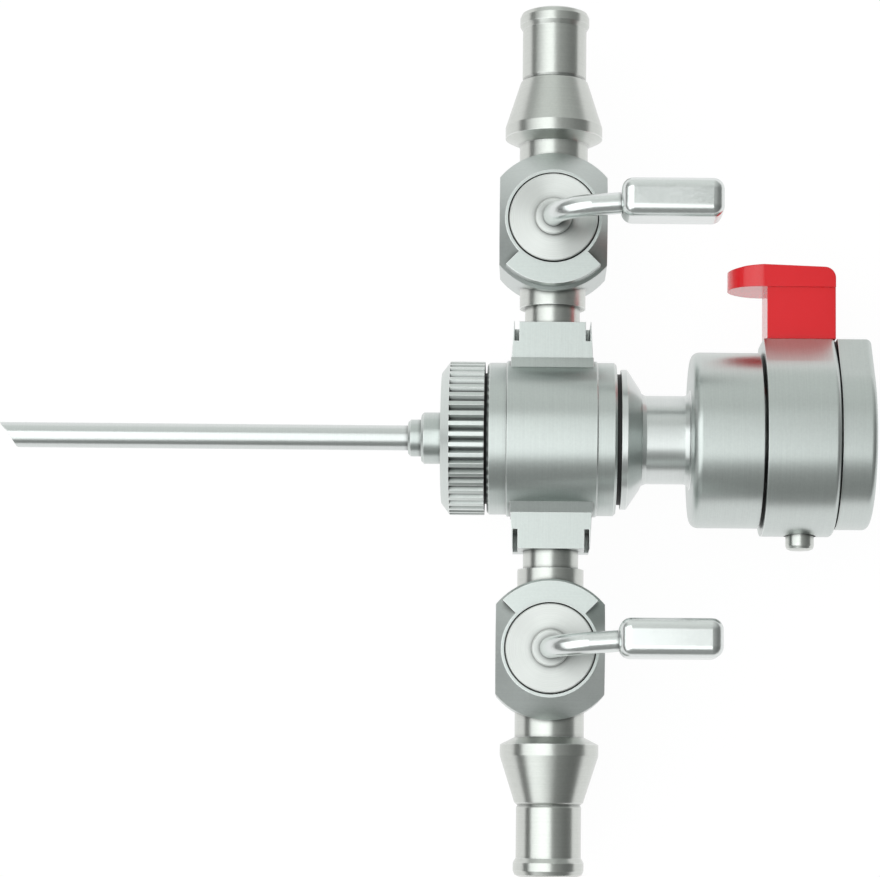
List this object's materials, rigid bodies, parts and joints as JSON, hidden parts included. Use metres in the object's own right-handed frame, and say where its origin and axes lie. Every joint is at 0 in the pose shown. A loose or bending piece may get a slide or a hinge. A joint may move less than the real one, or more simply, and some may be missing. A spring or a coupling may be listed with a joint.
{
  "type": "arthroscope sheath",
  "caption": "Small-joint arthroscope sheath: bevelled steel tube, turning irrigation drum with lever stopcocks and hose connectors, and a push-button telescope lock.",
  "frame": {"origin": "on the telescope channel's axis, where the axis of the two stopcocks crosses it", "axes": "+X along the channel towards the telescope lock, +Y towards the upper stopcock and the button, +Z away from the table, towards the stopcock levers"},
  "size_m": [0.1317, 0.1318, 0.0347],
  "materials": {
    "satin_steel": "satin brushed stainless steel",
    "polished_steel": "polished stainless steel",
    "red_plastic": "glossy red plastic",
    "seal_rubber": "black seal rubber",
    "bearing_polymer": "dark bearing polymer",
    "spring_steel": "spring steel"
  },
  "bodies": {
    "core": {"sheath_tube": "polished_steel", "tube_hub": "satin_steel", "core_sleeve": "polished_steel", "drum_seal_front": "seal_rubber", "drum_seal_rear": "seal_rubber", "thrust_washer": "bearing_polymer", "lock_housing": "satin_steel", "rear_cap": "satin_steel", "cap_screws": "satin_steel", "guide_pin": "polished_steel", "index_pin": "polished_steel", "telescope_seal": "seal_rubber", "seal_retainer": "satin_steel", "release_spring": "spring_steel"},
    "nut_carrier": {"nut_washer": "bearing_polymer"},
    "nut": {"fluted_nut": "satin_steel"},
    "drum": {"irrigation_drum": "satin_steel", "spigot_upper": "polished_steel", "valve_body_upper": "satin_steel", "stop_pin_upper": "polished_steel", "hose_connector_upper": "polished_steel", "spigot_lower": "polished_steel", "valve_body_lower": "satin_steel", "stop_pin_lower": "polished_steel", "hose_connector_lower": "polished_steel"},
    "lock_slide": {"lock_ring": "satin_steel", "latch_plate": "satin_steel", "release_button": "red_plastic", "button_screws": "satin_steel"},
    "plug_upper": {"valve_plug_upper": "satin_steel", "lever_rod_upper": "polished_steel", "lever_grip_upper": "polished_steel", "spring_washer_upper": "spring_steel", "valve_nut_upper": "satin_steel"},
    "plug_lower": {"valve_plug_lower": "satin_steel", "lever_rod_lower": "polished_steel", "lever_grip_lower": "polished_steel", "spring_washer_lower": "spring_steel", "valve_nut_lower": "satin_steel"}
  },
  "joints": [
    {"name": "drum_swivel", "type": "hinge", "parent": "core", "child": "drum", "pos_m": [0, 0, 0], "axis": [1, 0, 0], "continuous": true},
    {"name": "valve_upper_turn", "type": "hinge", "parent": "drum", "child": "plug_upper", "pos_m": [0, 0.0322, 0], "axis": [0, 0, 1], "range_deg": [0, 90]},
    {"name": "valve_lower_turn", "type": "hinge", "parent": "drum", "child": "plug_lower", "pos_m": [0, -0.0322, 0], "axis": [0, 0, -1], "range_deg": [0, 90]},
    {"name": "button_press", "type": "slide", "parent": "core", "child": "lock_slide", "axis": [0, -1, 0], "range_m": [0, 0.0015], "stiffness_N_per_m": 1200, "springref_m": -0.003, "deforming": ["release_spring"]},
    {"name": "nut_travel", "type": "slide", "parent": "core", "child": "nut_carrier", "axis": [-1, 0, 0], "range_m": [0, 0.0015]},
    {"name": "nut_turn", "type": "hinge", "parent": "nut_carrier", "child": "nut", "pos_m": [0, 0, 0], "axis": [-1, 0, 0], "range_deg": [0, 720]}
  ],
  "couplings": [
    {"joint": "nut_travel", "follows": "nut_turn", "m_per_rad": 0.00011937}
  ]
}
